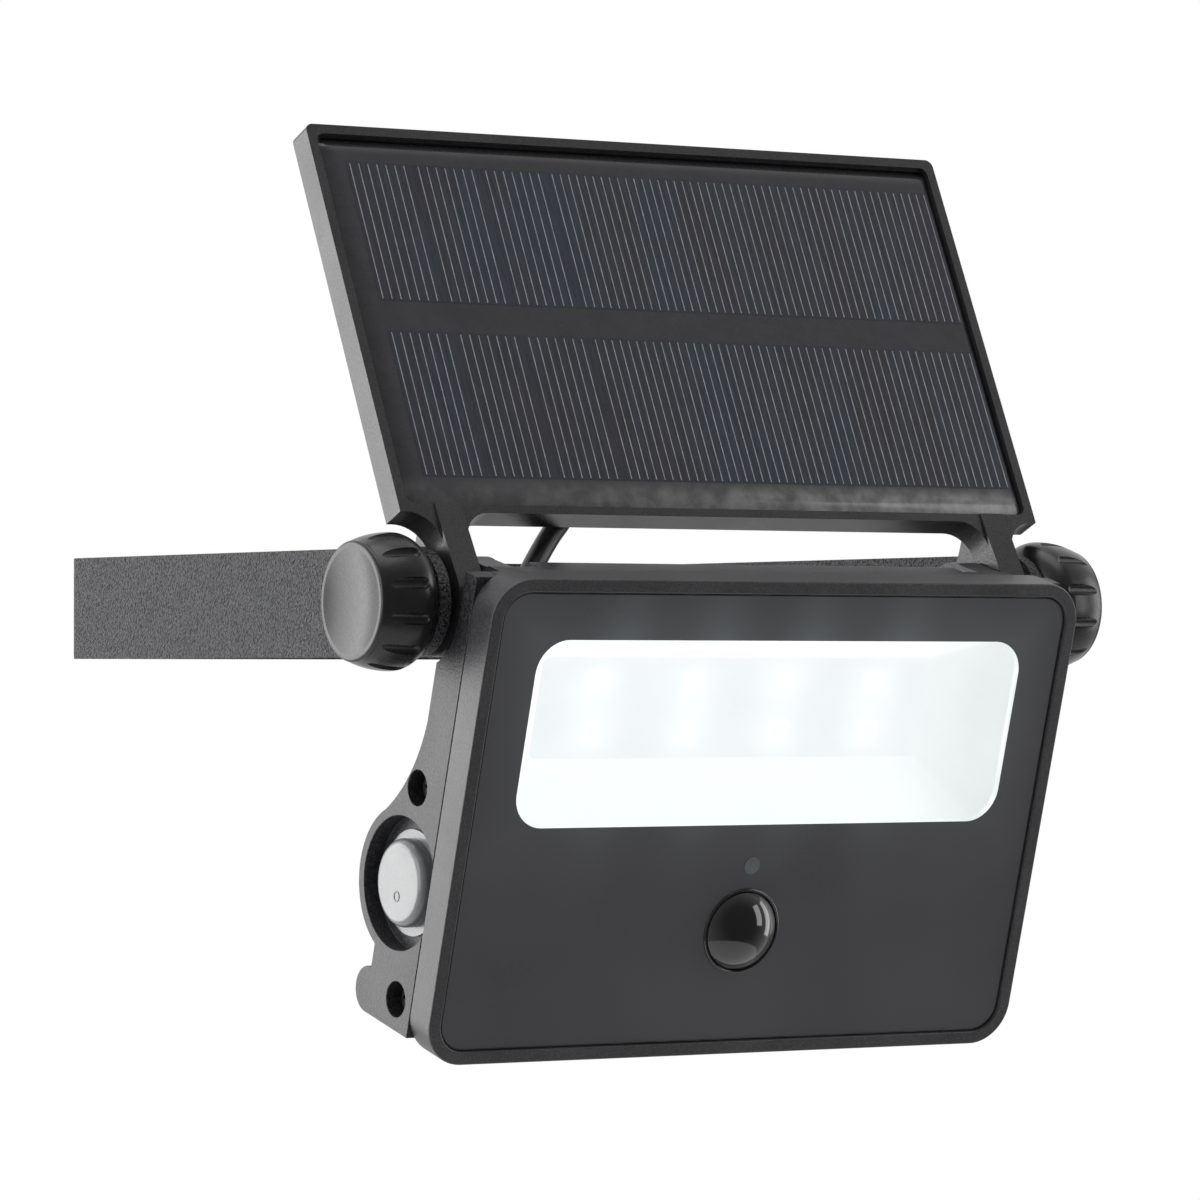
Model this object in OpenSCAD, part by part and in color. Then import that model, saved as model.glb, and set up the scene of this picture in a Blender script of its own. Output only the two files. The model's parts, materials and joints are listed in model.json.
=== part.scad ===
// Solar flood light: wall bracket, tilting lamp head and tilting solar panel on one pivot axis.
// Origin: centre of the bracket's wall face. X to the right seen from the front, Y into the wall, Z up.

/* [Wall bracket] */
// Height of the flat bar that the bracket is bent from
bar_h = 25; // [22:1:26]
// Thickness of the flat bar
bar_t = 3; // [2:0.5:4]
// Distance from the wall face to the pivot axis
reach = 163; // [120:1:200]
// Distance between the two wall screws
wall_screw_pitch = 100; // [60:1:110]
// Radius of the wall screw holes
wall_hole_r = 2.75; // [2:0.25:3.5]

/* [Lamp head] */
// Width over the front frame
lamp_w = 164.4; // [160:0.2:170]
// Height of the front frame
lamp_h = 114.5; // [112:0.5:118]
// Height of the front frame's top edge above the pivot axis
lamp_top = 13.2; // [12:0.1:13.5]
// Distance from the front plane back to the pivot axis
lamp_set = 28.3; // [28:0.1:30]
// Tilt of the lamp head, bottom towards the wall
lamp_tilt = 16; // [10:1:25]

/* [Solar panel] */
// Width over the panel frame
panel_w = 180.3; // [176:0.1:184]
// Height of the panel's bottom edge above the pivot axis
panel_bottom = 17.5; // [17.5:0.1:19]
// Height of the panel
panel_h = 100.2; // [90:0.1:120]
// Distance of the panel's front plane in front of the pivot axis
panel_set = 10.6; // [10:0.1:11]
// Lean of the panel, top towards the wall
panel_lean = 25; // [20:1:40]

/* [Clamping knobs] */
// Largest radius of a knob
knob_r = 15.7; // [15.2:0.1:16]
// Length of a knob
knob_l = 15.6; // [15:0.1:18]
// Number of flutes round a knob
flutes = 12; // [8:1:14]

/* [Hidden] */
$fn = 64;

eps = 0.01;
bolt_r = 3;                       // M6 pivot bolts
run_r = bolt_r + 0.05;            // running bore on a pivot bolt

// Positions along X, from the middle outwards
lug_in = lamp_w / 2 - 16.2;       // inner face of a lamp lug
lug_out = lamp_w / 2 - 9.2;       // outer face of a lamp lug
leg_in = lug_out + 0.7;           // inner face of a panel leg
leg_t = 7;
arm_in = lamp_w / 2 + 0.7;        // inner face of a bracket arm
arm_out = arm_in + bar_t;
washer_t = 1.7;
knob_in = arm_out + 0.3;          // inner face of a knob

// Lamp housing, in depth behind the front plane and height above the pivot
seam = 8.8;                       // depth of the joint between front frame and rear housing
wall = 2.5;
frame_corner = 10;
rim = 3.2;                        // visible width of the front rim
lamp_bottom = lamp_top - lamp_h;
shell_top = lamp_top - 2;
shell_bottom = lamp_bottom + 3.8;
flat_d = 20;                      // depth of the shell's flat back at the sides
deep_d = 24;                      // depth of the shell's flat back in the middle
deep_w = 60;                      // half width of the deep middle
edge_r = 2;                       // rounding of the shell's upper rear edge
bulge = [21.5, -64.5];            // centre of the battery bulge
bulge_r = 17.8;
fillet = [59.8, -21.4];           // centre of the hollow curve above the bulge
fillet_r = 40;
lobe = [28, -92.1];               // centre of the lower lobe
lobe_r = 5.4;
cheek_clear_r = 14.5;             // cheeks are cut back round the pivot by this radius
cheek_d = 13.8;                   // depth of the cheeks above the pivot
cap_in = 75.8;                    // inner face of an end cap
gasket_t = 0.8;
cap_screws = [[19.9, -41.4], [15.6, -90.4]];
cap_bore_r = 4.1;                 // counterbore over the head of a cap screw
cap_bore_t = 4.9;
screw_r = 1.5;
screw_head = [2.6, 1.8];          // radius and height of a cap screw's head
lug_r = 10.5;

// Front cover and what shows in it
cover_d = 0.7;                    // depth of the cover's face behind the rim
cover_t = 2.5;
cover_gap = 0.5;
window = [-68, 68, -45.4, -1.1];
window_corner = 8;
dusk_s = -55.3;
dusk_r = 2.1;
pir_s = -71.2;
pir_r = 9.6;
ledge = 6;                        // width of the ledge that carries the cover

// Light source
led_d = 18.4;                     // depth of the face of the lamp board
led_pitch = [26, 12];
led_s = -22;

// Battery and controls
cell_r = 9.2;
cell_l = 65;
cell_axis = [24.5, -64.5];
cell_left = -57.5;
pcb_d = 11.5;
pcb_t = 1.6;

// Switch on the left cheek
switch_axis = bulge;
recess_r = 15.4;
recess_t = 4.5;
nut_r = 13.6;                     // corner radius of the switch's nut
boot_top = -0.3;                  // outer face of the rubber boot, just proud of the cheek
rocker_r = 8;
rocker_h = 5;
rocker_rest = 7;                  // tilt of the rocker in its off position

// Panel
panel_t = 6.7;
panel_rim = 2.4;
panel_corner = 2;
slot_corner = 7;
shoulder_r = 8;
hub_r = 12.5;
laminate_d = 0.8;
cell_rows = [[27, 64.3], [72.2, 108.6]];
cell_span = [-81, 86.8];
cell_cols = 9;
cell_gap = 0.5;
box_x = [-54, -18];
box_s = [37, 61];
box_t = 9;
cable_r = 2.6;

// Route of the lead: panel side in the panel's frame, lamp side in the lamp's frame, both as
// [x, behind the pivot plane, height above the pivot]
route_panel = [
    [-36, 0, 34], [-36, 0, 30], [-36.8, 0, 25.5], [-39.5, 0, 21.5], [-43.5, 0, 17.5],
    [-48, 0, 12.5], [-52, 0.3, 7.5], [-55.2, 0.5, 3]
];
route_lamp = [
    [-57.6, 0.2, -2], [-59.6, 0.6, -7.5], [-61, 2.2, -13], [-61.5, 5.5, -18], [-61.5, 9.8, -22],
    [-61.4, 13.8, -26], [-61.2, 15.6, -31], [-61, 14.2, -35.1], [-61, 11.3, -37.4], [-61, 6.5, -41.2], [-61, 0.7, -45.8]
];

function pitch_about_x(p, a) =
    [p[0], p[1] * cos(a) - p[2] * sin(a), p[1] * sin(a) + p[2] * cos(a)];
function from_pivot(p) = [p[0], p[1] - reach, p[2]];
cable_route = concat(
    [for (p = route_panel) from_pivot(pitch_about_x(p, -panel_lean))],
    [for (p = route_lamp) from_pivot(pitch_about_x(p, lamp_tilt))]
);

// ---- frames and helpers ----

module at_pivot() translate([0, -reach, 0]) children();
module in_lamp() at_pivot() rotate([lamp_tilt, 0, 0]) translate([0, -lamp_set, 0]) children();
module in_panel() at_pivot() rotate([-panel_lean, 0, 0]) translate([0, -panel_set, 0]) children();
module both_sides() {
    children();
    mirror([1, 0, 0]) children();
}

// Plane figure in X and height, thickened in depth from d0 to d1
module plate(d0, d1) translate([0, d1, 0]) rotate([90, 0, 0]) linear_extrude(d1 - d0) children();

// Plane figure in depth and height, thickened along X from x0 to x1
module across(x0, x1) translate([x0, 0, 0]) rotate([90, 0, 90]) linear_extrude(x1 - x0) children();

// Cylinder along X from x0 to x1 at a depth and a height
module rod(x0, x1, at, r) translate([x0, at[0], at[1]]) rotate([0, 90, 0]) cylinder(r = r, h = x1 - x0);

// Rectangle from (x0, y0) to (x1, y1) with round corners
module round_rect(x0, y0, x1, y1, r) {
    translate([x0 + r, y0]) square([x1 - x0 - 2 * r, y1 - y0]);
    translate([x0, y0 + r]) square([x1 - x0, y1 - y0 - 2 * r]);
    for (x = [x0 + r, x1 - r], y = [y0 + r, y1 - r]) translate([x, y]) circle(r);
}

// ---- wall bracket ----

module bracket_outline() {
    inner_r = 1.5;
    difference() {
        round_rect(-arm_out, -reach, arm_out, 0, inner_r + bar_t);
        round_rect(-arm_in, -reach - 20, arm_in, -bar_t, inner_r);
    }
}

module wall_bracket() color("#2b2b2d") difference() {
    union() {
        translate([0, 0, -bar_h / 2]) linear_extrude(bar_h) difference() {
            bracket_outline();
            translate([-arm_out - 1, -reach - 1]) square([2 * arm_out + 2, 9]);
        }
        for (x = [-arm_out, arm_in]) {
            translate([x, -reach, -bar_h / 2]) cube([bar_t, 8, bar_h]);
            rod(x, x + bar_t, [-reach, 0], bar_h / 2);
        }
    }
    rod(-arm_out - 1, arm_out + 1, [-reach, 0], run_r);
    for (x = [-1, 1] * wall_screw_pitch / 2)
        translate([x, 1, 0]) rotate([90, 0, 0]) cylinder(r = wall_hole_r, h = bar_t + 2);
}

module friction_washer() at_pivot() difference() {
    rod(arm_in - washer_t, arm_in, [0, 0], 8.5);
    rod(arm_in - washer_t - 1, arm_in + 1, [0, 0], run_r);
}
module left_friction_washer() color("#1c1c1e") mirror([1, 0, 0]) friction_washer();
module right_friction_washer() color("#1c1c1e") friction_washer();

// ---- lamp head: front ----

module front_outline(inset = 0)
    round_rect(-lamp_w / 2 + inset, lamp_bottom + inset, lamp_w / 2 - inset, lamp_top - inset,
        frame_corner - min(inset, frame_corner - 4));

module front_frame() color("#3f3e41") in_lamp() difference() {
    plate(0, seam) front_outline();
    plate(-1, cover_d + cover_t + 0.8) front_outline(rim);
    plate(0, seam + 1) front_outline(rim + ledge);
    plate(seam - 0.8, seam + 1) difference() {
        front_outline(5);
        front_outline(6.2);
    }
}

module window_outline(grow = 0)
    round_rect(window[0] - grow, window[2] - grow, window[1] + grow, window[3] + grow,
        window_corner + grow);

module front_cover() color("#3b393d") in_lamp() difference() {
    plate(cover_d, cover_d + cover_t) front_outline(rim + cover_gap);
    plate(0, 10) window_outline();
    plate(0, 10) translate([0, pir_s]) circle(pir_r + 0.4);
    plate(0, 10) translate([0, dusk_s]) circle(dusk_r);
}

module window_lens() color("#e8f4f4", 0.4) in_lamp() {
    plate(cover_d, cover_d + cover_t) window_outline(-0.05);
    plate(cover_d + cover_t, cover_d + cover_t + 0.8) window_outline(2);
}

module cover_gasket() color("#0d0d0e") in_lamp() {
    plate(cover_d + 0.5, cover_d + cover_t) difference() {
        front_outline(rim);
        front_outline(rim + cover_gap);
    }
    plate(cover_d + cover_t, cover_d + cover_t + 0.8) difference() {
        front_outline(rim);
        front_outline(rim + ledge);
    }
}

module pir_lens() color("#101012") in_lamp() {
    dome_h = 5.2;
    skin = 1;
    bore = pir_r - 1.2;
    sphere_r = (pir_r * pir_r + dome_h * dome_h) / (2 * dome_h);
    sphere_at = dome_h - cover_d - sphere_r;
    translate([0, 0, pir_s]) rotate([90, 0, 0]) rotate_extrude() difference() {
        union() {
            intersection() {
                translate([0, sphere_at]) circle(sphere_r, $fn = 128);
                translate([0, -cover_d - cover_t]) square([pir_r, cover_t + dome_h + 1]);
            }
            translate([0, -cover_d - cover_t - skin]) square([pir_r + 2.4, skin]);
        }
        intersection() {
            translate([0, sphere_at]) circle(sphere_r - skin, $fn = 128);
            translate([0, -20]) square([bore, 40]);
        }
        translate([0, -20]) square([bore, 18]);
        translate([-40, -40]) square([40, 80]);
    }
}

module pir_sensor() color("#b9b9bd") in_lamp() plate(4.6, pcb_d) translate([0, pir_s]) circle(4.6);

module dusk_sensor_window() color("#8d8f92") in_lamp() {
    plate(cover_d - 0.1, cover_d + cover_t) translate([0, dusk_s]) circle(dusk_r);
    plate(cover_d + cover_t, cover_d + cover_t + 1) translate([0, dusk_s]) circle(dusk_r + 1.4);
}

module dusk_sensor() color("#22324a") in_lamp() plate(5, pcb_d) translate([0, dusk_s]) circle(1.6);

// ---- lamp head: light source ----

module tray(front, back, d0, d1) hull() {
    plate(d0, d0 + eps) round_rect(front[0], front[1], front[2], front[3], 6, $fn = 32);
    plate(d1 - eps, d1) round_rect(back[0], back[1], back[2], back[3], 2, $fn = 32);
}

module reflector() color("#f2f5f5") in_lamp() difference() {
    tray([-71, -47.4, 71, 0.9], [-56.2, -35.2, 56.2, -8.8], 4.6, led_d);
    tray([-69.8, -46.2, 69.8, -0.3], [-55, -34, 55, -10], 4.5, led_d + 0.2);
}

module led_board() color("#e9ecec") in_lamp()
    plate(led_d, led_d + 1.2) round_rect(-57, -36, 57, -8, 1.5);

module led_chips() color("#fff6c8") in_lamp()
    for (i = [-1.5 : 1.5], j = [-0.5, 0.5])
        translate([i * led_pitch[0] - 2.5, led_d - 0.9, led_s + j * led_pitch[1] - 2.5])
            cube([5, 0.9, 5]);

module heat_spreader() color("#b4b7ba") in_lamp()
    plate(led_d + 1.2, led_d + 2.7) round_rect(-57, -40, 57, -4, 2);

// ---- lamp head: controls and battery ----

module control_board() color("#1f5a36") in_lamp()
    plate(pcb_d, pcb_d + pcb_t) round_rect(-55, -92, 55, -50, 2);

module board_components() color("#2a2a2c") in_lamp() {
    for (x = [-40, -26, 26, 40]) translate([x, pcb_d - 4, -86]) cube([8, 4, 8]);
    for (x = [-44, 36]) plate(pcb_d - 5, pcb_d) translate([x, -62]) circle(4);
}

module battery_cells() color("#2f6fb0") in_lamp() for (i = [0, 1])
    rod(cell_left + i * (cell_l + 1), cell_left + i * (cell_l + 1) + cell_l, cell_axis, cell_r);

module battery_cradle() color("#202022") in_lamp() difference() {
    rod(cell_left - 1.5, 73, cell_axis, cell_r + 1.7);
    rod(cell_left, 80, cell_axis, cell_r + 0.1);
    across(-80, 80) translate([0, -90]) square([cell_axis[0], 60]);
}

// ---- lamp head: rear ----

// Section of the rear housing, drawn in by inset for its hollow, which runs out through the front
module shell_section(inset = 0) {
    top = shell_top - inset;
    front = seam - inset;
    translate([front, lobe[1]]) square([flat_d - inset - front, top - lobe[1] - edge_r]);
    translate([front, lobe[1]]) square([flat_d - inset - front - edge_r, top - lobe[1]]);
    translate([flat_d - inset - edge_r, top - edge_r]) circle(edge_r);
    difference() {
        translate(bulge) circle(bulge_r - inset);
        translate([front - 60, bulge[1] - 30]) square([60, 60]);
    }
    translate([front, shell_bottom + inset]) square([lobe[0] - inset - front, 17 - inset]);
    translate(lobe) circle(lobe_r - inset);
}

// Hollow curve from the shell's flat back down to the bulge
module fillet_section(inset = 0) difference() {
    polygon([[flat_d - 3, fillet[1]], fillet, bulge, [flat_d - 3, bulge[1]]]);
    translate(fillet) circle(fillet_r + inset, $fn = 128);
}

// Cheek section: the shell's, cut back round the pivot and the panel leg
module cheek_section(inset = 0) difference() {
    shell_section(inset);
    translate([lamp_set, 0]) circle(cheek_clear_r + inset);
    translate([cheek_d - inset, 0]) square([30, 30]);
}

module shell(x0, x1, inset = 0) {
    across(x0, x1) shell_section(inset);
    across(x0, x1) fillet_section(inset);
}

module cheek(x0, x1, inset = 0) {
    across(x0, x1) cheek_section(inset);
    across(x0, x1) fillet_section(inset);
}

module lug_section() {
    translate([lamp_set, 0]) circle(lug_r);
    polygon([
        [seam, shell_top], [lamp_set - 1, lug_r - 0.1], [lamp_set, 0], [lamp_set + 1, -lug_r + 0.1],
        [flat_d, -26], [seam, -26]
    ]);
}

module deep_section(inset = 0) {
    foot = -40;
    top = shell_top - inset;
    front = seam - inset;
    translate([front, foot]) square([deep_d - inset - front, top - edge_r - foot]);
    translate([front, foot]) square([deep_d - inset - front - edge_r, top - foot]);
    translate([deep_d - inset - edge_r, top - edge_r]) circle(edge_r);
}

module gland_frame()
    translate([-61, 28.2, -46.4]) rotate([-51.8, 0, 0]) children();

module rear_housing() color("#39383b") in_lamp() difference() {
    union() {
        shell(-lug_out, lug_out);
        cheek(-cap_in + gasket_t, cap_in - gasket_t);
        across(-deep_w, deep_w) deep_section();
        both_sides() across(lug_in, lug_out) lug_section();
    }
    difference() {
        union() {
            shell(-lug_out + wall, lug_out - wall, wall);
            cheek(-cap_in, cap_in, wall);
            across(-deep_w + wall, deep_w - wall) deep_section(wall);
        }
        both_sides() for (p = cap_screws) rod(60, cap_in, p, 5);
    }
    both_sides() for (p = cap_screws) rod(58, cap_in + 1, p, screw_r + 0.05);
    rod(-lug_out - 1, lug_out + 1, [lamp_set, 0], bolt_r + 0.1);
    gland_frame() translate([0, 0, -8]) cylinder(r = 4.1, h = 14);
}

module housing_seal() color("#151516") in_lamp() plate(seam - 0.8, seam) difference() {
    front_outline(5);
    front_outline(6.2);
}

module end_cap() difference() {
    cheek(cap_in, lamp_w / 2);
    for (p = cap_screws) {
        rod(lamp_w / 2 - cap_bore_t, lamp_w / 2 + 1, p, cap_bore_r);
        rod(cap_in - 1, lamp_w / 2, p, screw_r + 0.2);
    }
}

module right_end_cap() color("#39383b") in_lamp() end_cap();

module left_end_cap() color("#39383b") in_lamp() mirror([1, 0, 0]) difference() {
    end_cap();
    rod(lamp_w / 2 - recess_t, lamp_w / 2 + 1, switch_axis, recess_r);
    rod(cap_in - 1, lamp_w / 2, switch_axis, 10.1);
}

module end_cap_gaskets() color("#151516") in_lamp() both_sides() difference() {
    cheek(cap_in - gasket_t, cap_in);
    rod(cap_in - 2, cap_in + 1, switch_axis, nut_r + 0.4);
    for (p = cap_screws) rod(cap_in - 2, cap_in + 1, p, screw_r + 0.2);
}

module end_cap_screws() color("#343537") in_lamp() both_sides() for (p = cap_screws) {
    seat = lamp_w / 2 - cap_bore_t;
    difference() {
        union() {
            rod(seat, seat + screw_head[1], p, screw_head[0]);
            rod(62, seat, p, screw_r);
        }
        for (a = [0, 90]) translate([seat + screw_head[1] - 1, p[0], p[1]]) rotate([a, 0, 0])
            translate([0, -1.7, -0.4]) cube([2, 3.4, 0.8]);
    }
}

// ---- switch, with x measured inwards from the left cheek's face ----

module switch_frame() in_lamp() translate([-lamp_w / 2, switch_axis[0], switch_axis[1]])
    rotate([0, 90, 0]) children();

module switch_body() color("#18181a") switch_frame() difference() {
    union() {
        translate([0, 0, recess_t + 0.1]) cylinder(r = 10, h = 14.5);
        for (y = [-4, 4]) translate([-0.4, y - 2.5, 19]) cube([0.8, 5, 3.6]);
    }
    translate([0, 0, 4]) cylinder(r = 8.7, h = 9);
    translate([0, 0, 7]) rotate([90, 0, 0]) cylinder(r = 1.55, h = 19, center = true);
}

module switch_nut() color("#2a2a2c") switch_frame() difference() {
    translate([0, 0, lamp_w / 2 - cap_in]) cylinder(r = nut_r, h = 2.6, $fn = 6);
    translate([0, 0, 4]) cylinder(r = 10.05, h = 10);
}

module switch_boot() color("#c9cfd2", 0.6) switch_frame() rotate_extrude() {
    skin = 0.9;
    bend_r = 2;
    bend = [8.2, boot_top + bend_r];
    foot = recess_t - 1;
    translate([9.3, foot]) square([2.9, 1]);
    translate([9.3, bend[1]]) square([skin, foot + 0.3 - bend[1]]);
    translate([0, boot_top]) square([bend[0], skin]);
    intersection() {
        translate(bend) difference() {
            circle(bend_r);
            circle(bend_r - skin);
        }
        translate([bend[0], boot_top - 1]) square([4, bend_r + 1]);
    }
}

module switch_rocker() color("#1a1a1c") switch_frame() translate([0, 0, 7])
    rotate([0, rocker_rest, 0]) {
        translate([0, 0, -rocker_h]) cylinder(r = rocker_r, h = rocker_h);
        rotate([90, 0, 0]) cylinder(r = 1.5, h = 18.6, center = true);
    }

// ---- pivot bolts, lead and its glands ----

module pivot_bolt() in_lamp() {
    rod(lug_in - 4, lug_in, [lamp_set, 0], 5.7, $fn = 6);
    rod(lug_in, knob_in + 10.8, [lamp_set, 0], bolt_r);
}
module left_pivot_bolt() color("#9a9da1") mirror([1, 0, 0]) pivot_bolt();
module right_pivot_bolt() color("#9a9da1") pivot_bolt();

module lamp_cable_gland() color("#141415") in_lamp() gland_frame() difference() {
    union() {
        translate([0, 0, -4]) cylinder(r = 4, h = 4.8);
        translate([0, 0, 0.8]) cylinder(r = 6, h = 2.6, $fn = 6);
        translate([0, 0, 3.4]) cylinder(r = 4.6, h = 3.2);
    }
    translate([0, 0, -1]) cylinder(r = cable_r + 0.15, h = 20);
}

// One ring of points round the route at point i
sides = 8;
function unit(v) = v / norm(v);
function heading(i) = unit(cable_route[min(i + 1, len(cable_route) - 1)] - cable_route[max(i - 1, 0)]);
function ring(i) = let (t = heading(i), u = unit(cross(t, [1, 0, 0])), w = cross(t, u))
    [for (k = [0 : sides - 1]) cable_route[i] + cable_r * (u * cos(k * 360 / sides) + w * sin(k * 360 / sides))];

module solar_cable() color("#17171a") {
    n = len(cable_route);
    polyhedron(
        points = [for (i = [0 : n - 1]) each ring(i)],
        faces = concat(
            [[for (k = [0 : sides - 1]) k]],
            [for (i = [0 : n - 2], k = [0 : sides - 1]) let (a = i * sides, b = (k + 1) % sides)
                [a + k, a + sides + k, a + sides + b, a + b]],
            [[for (k = [0 : sides - 1]) n * sides - 1 - k]]
        )
    );
}

// ---- solar panel ----

module panel_outline() {
    top = panel_bottom + panel_h;
    side = panel_w / 2;
    leg_out = leg_in + leg_t;
    translate([-side, panel_bottom]) square([2 * side, panel_h - panel_corner]);
    translate([-side + panel_corner, panel_bottom]) square([2 * (side - panel_corner), panel_h]);
    for (x = [-1, 1]) translate([x * (side - panel_corner), top - panel_corner]) circle(panel_corner);
    for (m = [0, 1]) mirror([m, 0]) difference() {
        translate([leg_in - slot_corner, 5]) square([leg_t + slot_corner + shoulder_r, panel_bottom - 5 + 1]);
        translate([leg_in - slot_corner, panel_bottom - slot_corner]) circle(slot_corner);
        translate([leg_in - slot_corner - 1, 0]) square([slot_corner + 1, panel_bottom - slot_corner]);
        translate([leg_out + shoulder_r, panel_bottom - shoulder_r]) circle(shoulder_r);
        translate([leg_out, 0]) square([shoulder_r + 1, panel_bottom - shoulder_r]);
    }
}

module leg_section() {
    translate([panel_set, 0]) circle(hub_r);
    polygon([
        [0, panel_bottom + 6], [panel_set - hub_r + 0.2, 2], [panel_set, 0], [panel_set + hub_r - 0.3, 3],
        [panel_t, panel_bottom + 2], [panel_t, panel_bottom + 6]
    ]);
}

module laminate_outline(inset) round_rect(-panel_w / 2 + panel_rim + inset, panel_bottom + 2.1 + inset,
    panel_w / 2 - panel_rim - inset, panel_bottom + panel_h - panel_rim - inset, 2);

module panel_frame() color("#2c2c2f") in_panel() difference() {
    union() {
        plate(0, panel_t) panel_outline();
        both_sides() across(leg_in, leg_in + leg_t) leg_section();
    }
    plate(-1, 4.6) laminate_outline(0);
    both_sides() rod(leg_in - 1, leg_in + leg_t + 1, [panel_set, 0], run_r);
    translate([-36, 4, 49]) rotate([-90, 0, 0]) cylinder(r = 4, h = 10);
}

module panel_seal() color("#0b0b0c") in_panel() plate(laminate_d + 0.3, 4.6) difference() {
    laminate_outline(0);
    laminate_outline(0.5);
}

module solar_backing() color("#222428") in_panel() plate(3.2, 4.6) difference() {
    laminate_outline(0.5);
    translate([-36, 49]) circle(2.5);
}

module solar_cells() color("#232a3c") in_panel() {
    pitch = (cell_span[1] - cell_span[0] + cell_gap) / cell_cols;
    for (row = cell_rows, i = [0 : cell_cols - 1])
        translate([cell_span[0] + i * pitch, 2.9, row[0]]) cube([pitch - cell_gap, 0.3, row[1] - row[0]]);
}

module solar_resin() color("#30343d", 0.5) in_panel() plate(laminate_d, 2.9) laminate_outline(0.5);

module junction_box() color("#1c1c1e") in_panel() difference() {
    plate(panel_t, panel_t + box_t - 1.6) round_rect(box_x[0], box_s[0], box_x[1], box_s[1], 3);
    plate(panel_t + 1.5, panel_t + box_t) round_rect(box_x[0] + 5, box_s[0] + 2, box_x[1] - 5, box_s[1] - 2, 1);
    for (x = [box_x[0] + 2.5, box_x[1] - 2.5]) translate([x, panel_t + 2, 49])
        rotate([-90, 0, 0]) cylinder(r = 1.05, h = box_t);
    translate([-36, panel_set, box_s[0] - 1]) cylinder(r = 3.4, h = 5);
    translate([-36, panel_t - 1, 49]) rotate([-90, 0, 0]) cylinder(r = 2.5, h = 4);
}

module junction_lid() color("#1c1c1e") in_panel() difference() {
    plate(panel_t + box_t - 1.6, panel_t + box_t) round_rect(box_x[0], box_s[0], box_x[1], box_s[1], 3);
    for (x = [box_x[0] + 2.5, box_x[1] - 2.5]) translate([x, panel_t, 49])
        rotate([-90, 0, 0]) cylinder(r = 1.2, h = box_t + 1);
}

module junction_screws() color("#343537") in_panel() for (x = [box_x[0] + 2.5, box_x[1] - 2.5]) {
    translate([x, panel_t + box_t, 49]) rotate([-90, 0, 0]) cylinder(r = 2, h = 1.2);
    translate([x, panel_t + 3, 49]) rotate([-90, 0, 0]) cylinder(r = 1, h = box_t - 3);
}

module panel_cable_gland() color("#141415") in_panel() translate([-36, panel_set, 0]) difference() {
    union() {
        translate([0, 0, 30]) cylinder(r = 3.8, h = box_s[0] - 30);
        translate([0, 0, box_s[0]]) cylinder(r = 3.3, h = 3);
    }
    translate([0, 0, 29]) cylinder(r = cable_r + 0.15, h = 12);
}

// ---- clamping knobs, drawn along Z from the inner face outwards ----

module knob_section() {
    wide = 5.7;                   // height of the largest radius
    dome_r = 6;                   // rounding of the inner side
    rim_r = 1;                    // rounding of the outer rim
    flank_r = 22;                 // curve of the flank from the widest part to the rim
    flank_at = knob_r - flank_r;
    rim_z = knob_l - rim_r;
    rim_at = flank_at + sqrt(flank_r * flank_r - (rim_z - wide) * (rim_z - wide)) - rim_r;
    dish = 1.5;
    dish_at = rim_at - 0.7;       // radius where the dished face begins
    dish_r = (dish_at * dish_at + dish * dish) / (2 * dish);
    difference() {
        union() {
            intersection() {
                translate([flank_at, wide]) circle(flank_r, $fn = 128);
                translate([0, wide]) square([knob_r + 1, rim_z - wide]);
            }
            square([knob_r - dome_r, wide]);
            intersection() {
                translate([knob_r - dome_r, wide]) circle(dome_r);
                translate([knob_r - dome_r, 0]) square([dome_r + 1, wide]);
            }
            translate([0, rim_z]) square([rim_at, rim_r]);
            translate([rim_at, rim_z]) circle(rim_r);
        }
        translate([0, knob_l - dish + dish_r]) circle(dish_r, $fn = 256);
        translate([-60, -60]) square([60, 180]);
    }
}

// Round-ended groove cutter, deepest at its inner end and run out before the rim
module flute() {
    flute_r = 1.5;
    lean = 2;
    translate([knob_r + 0.35, 0, 5.4]) rotate([0, -lean, 0]) rotate_extrude($fn = 32) {
        square([flute_r, 20]);
        intersection() {
            circle(flute_r);
            translate([0, -flute_r]) square([flute_r, flute_r]);
        }
    }
}

module knob() difference() {
    rotate_extrude() knob_section();
    for (i = [0 : flutes - 1]) rotate([0, 0, (i + 0.5) * 360 / flutes]) flute();
    translate([0, 0, -1]) cylinder(r = 5, h = 10.4);
    cylinder(r = 3.4, h = 11.6);
}

module knob_insert() difference() {
    translate([0, 0, 0.2]) cylinder(r = 5, h = 9.2);
    cylinder(r = run_r, h = 20);
}

module right_side() at_pivot() translate([knob_in, 0, 0]) rotate([0, 90, 0]) children();
module right_knob() color("#1b1b1d") right_side() knob();
module right_knob_insert() color("#b08d4a") right_side() knob_insert();
module left_knob() color("#1b1b1d") mirror([1, 0, 0]) right_side() knob();
module left_knob_insert() color("#b08d4a") mirror([1, 0, 0]) right_side() knob_insert();

wall_bracket();
left_friction_washer();
right_friction_washer();
front_frame();
front_cover();
window_lens();
cover_gasket();
reflector();
led_board();
led_chips();
heat_spreader();
pir_lens();
pir_sensor();
dusk_sensor_window();
dusk_sensor();
control_board();
board_components();
battery_cells();
battery_cradle();
housing_seal();
rear_housing();
left_end_cap();
right_end_cap();
end_cap_gaskets();
end_cap_screws();
switch_body();
switch_boot();
switch_nut();
lamp_cable_gland();
left_pivot_bolt();
right_pivot_bolt();
solar_cable();
switch_rocker();
panel_frame();
panel_seal();
solar_backing();
solar_cells();
solar_resin();
junction_box();
junction_lid();
junction_screws();
panel_cable_gland();
left_knob();
left_knob_insert();
right_knob();
right_knob_insert();
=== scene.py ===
"""Solar flood light: materials, finished pieces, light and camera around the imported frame."""

import json
import math

import bmesh
import bpy
from mathutils import Matrix, Vector, noise


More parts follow.
